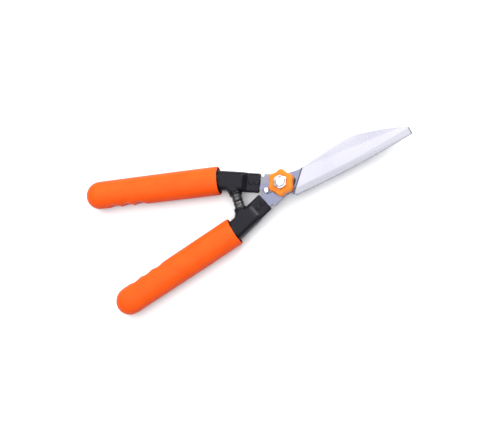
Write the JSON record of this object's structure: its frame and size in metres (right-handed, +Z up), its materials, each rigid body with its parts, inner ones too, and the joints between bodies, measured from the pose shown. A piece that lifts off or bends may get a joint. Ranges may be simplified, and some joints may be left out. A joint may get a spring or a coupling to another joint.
{
  "type": "grass shears",
  "caption": "Two-handed grass shears: long straight steel blades on an adjustable pivot, tubular black handles with rubber bumpers and thick orange grips.",
  "frame": {"origin": "on the pivot axis, at the centre of the pivot bolt head's flat outer face", "axes": "+X points along the closed blades to their tips, +Z runs up the pivot axis to the knob, and +Y is on the side of the handle that carries the rear blade"},
  "size_m": [0.4589, 0.196, 0.0439],
  "materials": {
    "blade_steel": "ground and polished",
    "bolt_steel": "zinc plated",
    "washer_steel": "brushed",
    "spring_steel": "plain",
    "screw_steel": "zinc plated",
    "nut_chrome": "polished",
    "knob_plastic": "moulded, satin gloss",
    "handle_paint": "satin black powder coat",
    "rivet_paint": "painted with the handle",
    "cup_paint": "painted with the handle",
    "grip_vinyl": "satin moulded vinyl",
    "collar_plastic": "moulded",
    "plug_plastic": "moulded",
    "bumper_rubber": "moulded"
  },
  "bodies": {
    "upper_side": {"rear_blade": "blade_steel", "pivot_bolt": "bolt_steel", "upper_handle": "handle_paint", "upper_tang_rivets": "rivet_paint", "upper_grip": "grip_vinyl", "upper_collar": "collar_plastic", "upper_end_plug": "plug_plastic", "upper_bumper_cup": "cup_paint", "upper_bumper": "bumper_rubber", "upper_bumper_screw": "screw_steel"},
    "lower_side": {"front_blade": "blade_steel", "tab_washer": "washer_steel", "lock_screw": "screw_steel", "lower_handle": "handle_paint", "lower_tang_rivets": "rivet_paint", "lower_grip": "grip_vinyl", "lower_collar": "collar_plastic", "lower_end_plug": "plug_plastic", "lower_bumper_cup": "cup_paint", "lower_bumper": "bumper_rubber", "lower_bumper_screw": "screw_steel"},
    "knob": {"spring_washer": "spring_steel", "tension_knob": "knob_plastic", "cap_nut": "nut_chrome"}
  },
  "joints": [
    {"name": "blade_pivot", "type": "hinge", "parent": "upper_side", "child": "lower_side", "pos_m": [0, 0, 0.00755], "axis": [0, 0, 1], "range_deg": [0, 60]},
    {"name": "knob_turn", "type": "hinge", "parent": "upper_side", "child": "knob", "pos_m": [0, 0, 0.02], "axis": [0, 0, 1], "range_deg": [-90, 90]}
  ]
}
